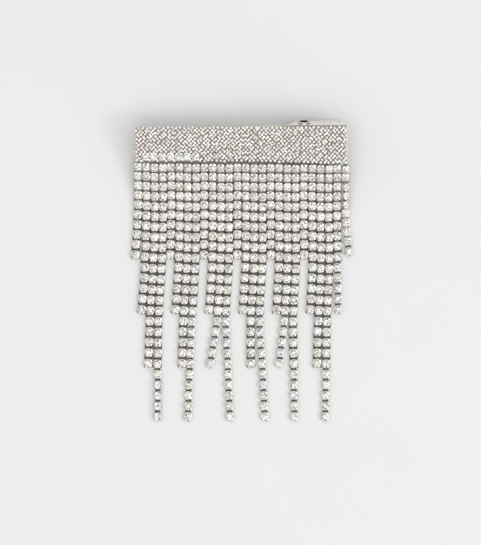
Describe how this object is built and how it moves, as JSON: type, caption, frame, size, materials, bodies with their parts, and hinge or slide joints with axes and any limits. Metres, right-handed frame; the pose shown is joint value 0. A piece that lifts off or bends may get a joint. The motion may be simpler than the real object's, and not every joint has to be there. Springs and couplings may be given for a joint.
{
  "type": "hair clip",
  "caption": "Hair clip with an oblong rhinestone header on a sprung alligator clip and a stepped fringe of cup-chain rhinestone strands.",
  "frame": {"origin": "centre of the bounding box, on the surface that the clip lies on", "axes": "+X along the header towards the clip's pivot, +Y from the strand ends to the header, +Z out of the stones"},
  "size_m": [0.0738, 0.1002, 0.0152],
  "materials": {
    "plated_metal": "polished silver plating",
    "spring_steel": "drawn spring wire",
    "rhinestone": "clear faceted stones with foiled backs, in silver-plated cups"
  },
  "bodies": {
    "header": {"header_plate": "plated_metal", "rhinestone_mesh": "rhinestone", "strand_bar": "plated_metal", "clip_upper_arm": "plated_metal", "pivot_pin": "plated_metal", "torsion_spring": "spring_steel"},
    "lower_arm": {"clip_lower_arm": "plated_metal"},
    "strand_01": {"strand_01": "rhinestone"},
    "strand_02": {"strand_02": "rhinestone"},
    "strand_03": {"strand_03": "rhinestone"},
    "strand_04": {"strand_04": "rhinestone"},
    "strand_05": {"strand_05": "rhinestone"},
    "strand_06": {"strand_06": "rhinestone"},
    "strand_07": {"strand_07": "rhinestone"},
    "strand_08": {"strand_08": "rhinestone"},
    "strand_09": {"strand_09": "rhinestone"},
    "strand_10": {"strand_10": "rhinestone"},
    "strand_11": {"strand_11": "rhinestone"},
    "strand_12": {"strand_12": "rhinestone"},
    "strand_13": {"strand_13": "rhinestone"},
    "strand_14": {"strand_14": "rhinestone"},
    "strand_15": {"strand_15": "rhinestone"},
    "strand_16": {"strand_16": "rhinestone"},
    "strand_17": {"strand_17": "rhinestone"},
    "strand_18": {"strand_18": "rhinestone"},
    "strand_19": {"strand_19": "rhinestone"},
    "strand_20": {"strand_20": "rhinestone"},
    "strand_21": {"strand_21": "rhinestone"},
    "strand_22": {"strand_22": "rhinestone"},
    "strand_23": {"strand_23": "rhinestone"},
    "strand_24": {"strand_24": "rhinestone"},
    "strand_25": {"strand_25": "rhinestone"},
    "strand_26": {"strand_26": "rhinestone"}
  },
  "joints": [
    {"name": "jaw_hinge", "type": "hinge", "parent": "header", "child": "lower_arm", "pos_m": [0.0206, 0.04478, 0.00694], "axis": [0.014, -0.9511, -0.3087], "range_deg": [0, 30], "stiffness_Nm_per_rad": 0.05, "springref_deg": -57.3, "deforming": ["torsion_spring"]},
    {"name": "strand_01_hinge", "type": "hinge", "parent": "header", "child": "strand_01", "pos_m": [-0.03467, 0.03668, 0.0059], "axis": [-0.999, 0, -0.0454], "range_deg": [0, 60]},
    {"name": "strand_02_hinge", "type": "hinge", "parent": "header", "child": "strand_02", "pos_m": [-0.03191, 0.03668, 0.00602], "axis": [-0.999, 0, -0.0454], "range_deg": [0, 60]},
    {"name": "strand_03_hinge", "type": "hinge", "parent": "header", "child": "strand_03", "pos_m": [-0.02915, 0.03668, 0.00615], "axis": [-0.999, 0, -0.0454], "range_deg": [0, 60]},
    {"name": "strand_04_hinge", "type": "hinge", "parent": "header", "child": "strand_04", "pos_m": [-0.02639, 0.03668, 0.00627], "axis": [-0.999, 0, -0.0454], "range_deg": [0, 60]},
    {"name": "strand_05_hinge", "type": "hinge", "parent": "header", "child": "strand_05", "pos_m": [-0.02362, 0.03668, 0.0064], "axis": [-0.999, 0, -0.0454], "range_deg": [0, 60]},
    {"name": "strand_06_hinge", "type": "hinge", "parent": "header", "child": "strand_06", "pos_m": [-0.02086, 0.03668, 0.00652], "axis": [-0.999, 0, -0.0454], "range_deg": [0, 60]},
    {"name": "strand_07_hinge", "type": "hinge", "parent": "header", "child": "strand_07", "pos_m": [-0.0181, 0.03668, 0.00665], "axis": [-0.999, 0, -0.0454], "range_deg": [0, 60]},
    {"name": "strand_08_hinge", "type": "hinge", "parent": "header", "child": "strand_08", "pos_m": [-0.01534, 0.03668, 0.00677], "axis": [-0.999, 0, -0.0454], "range_deg": [0, 60]},
    {"name": "strand_09_hinge", "type": "hinge", "parent": "header", "child": "strand_09", "pos_m": [-0.01257, 0.03668, 0.0069], "axis": [-0.999, 0, -0.0454], "range_deg": [0, 60]},
    {"name": "strand_10_hinge", "type": "hinge", "parent": "header", "child": "strand_10", "pos_m": [-0.00981, 0.03668, 0.00703], "axis": [-0.999, 0, -0.0454], "range_deg": [0, 60]},
    {"name": "strand_11_hinge", "type": "hinge", "parent": "header", "child": "strand_11", "pos_m": [-0.00705, 0.03668, 0.00715], "axis": [-0.999, 0, -0.0454], "range_deg": [0, 60]},
    {"name": "strand_12_hinge", "type": "hinge", "parent": "header", "child": "strand_12", "pos_m": [-0.00429, 0.03668, 0.00728], "axis": [-0.999, 0, -0.0454], "range_deg": [0, 60]},
    {"name": "strand_13_hinge", "type": "hinge", "parent": "header", "child": "strand_13", "pos_m": [-0.00153, 0.03668, 0.0074], "axis": [-0.999, 0, -0.0454], "range_deg": [0, 60]},
    {"name": "strand_14_hinge", "type": "hinge", "parent": "header", "child": "strand_14", "pos_m": [0.00124, 0.03668, 0.00753], "axis": [-0.999, 0, -0.0454], "range_deg": [0, 60]},
    {"name": "strand_15_hinge", "type": "hinge", "parent": "header", "child": "strand_15", "pos_m": [0.004, 0.03668, 0.00765], "axis": [-0.999, 0, -0.0454], "range_deg": [0, 60]},
    {"name": "strand_16_hinge", "type": "hinge", "parent": "header", "child": "strand_16", "pos_m": [0.00676, 0.03668, 0.00778], "axis": [-0.999, 0, -0.0454], "range_deg": [0, 60]},
    {"name": "strand_17_hinge", "type": "hinge", "parent": "header", "child": "strand_17", "pos_m": [0.00952, 0.03668, 0.0079], "axis": [-0.999, 0, -0.0454], "range_deg": [0, 60]},
    {"name": "strand_18_hinge", "type": "hinge", "parent": "header", "child": "strand_18", "pos_m": [0.01228, 0.03668, 0.00803], "axis": [-0.999, 0, -0.0454], "range_deg": [0, 60]},
    {"name": "strand_19_hinge", "type": "hinge", "parent": "header", "child": "strand_19", "pos_m": [0.01505, 0.03668, 0.00816], "axis": [-0.999, 0, -0.0454], "range_deg": [0, 60]},
    {"name": "strand_20_hinge", "type": "hinge", "parent": "header", "child": "strand_20", "pos_m": [0.01781, 0.03668, 0.00828], "axis": [-0.999, 0, -0.0454], "range_deg": [0, 60]},
    {"name": "strand_21_hinge", "type": "hinge", "parent": "header", "child": "strand_21", "pos_m": [0.02057, 0.03668, 0.0084], "axis": [-0.999, 0, -0.0454], "range_deg": [0, 60]},
    {"name": "strand_22_hinge", "type": "hinge", "parent": "header", "child": "strand_22", "pos_m": [0.02333, 0.03668, 0.00853], "axis": [-0.999, 0, -0.0454], "range_deg": [0, 60]},
    {"name": "strand_23_hinge", "type": "hinge", "parent": "header", "child": "strand_23", "pos_m": [0.0261, 0.03668, 0.00866], "axis": [-0.999, 0, -0.0454], "range_deg": [0, 60]},
    {"name": "strand_24_hinge", "type": "hinge", "parent": "header", "child": "strand_24", "pos_m": [0.02886, 0.03668, 0.00878], "axis": [-0.999, 0, -0.0454], "range_deg": [0, 60]},
    {"name": "strand_25_hinge", "type": "hinge", "parent": "header", "child": "strand_25", "pos_m": [0.03162, 0.03668, 0.00891], "axis": [-0.999, 0, -0.0454], "range_deg": [0, 60]},
    {"name": "strand_26_hinge", "type": "hinge", "parent": "header", "child": "strand_26", "pos_m": [0.03438, 0.03668, 0.00903], "axis": [-0.999, 0, -0.0454], "range_deg": [0, 60]}
  ]
}
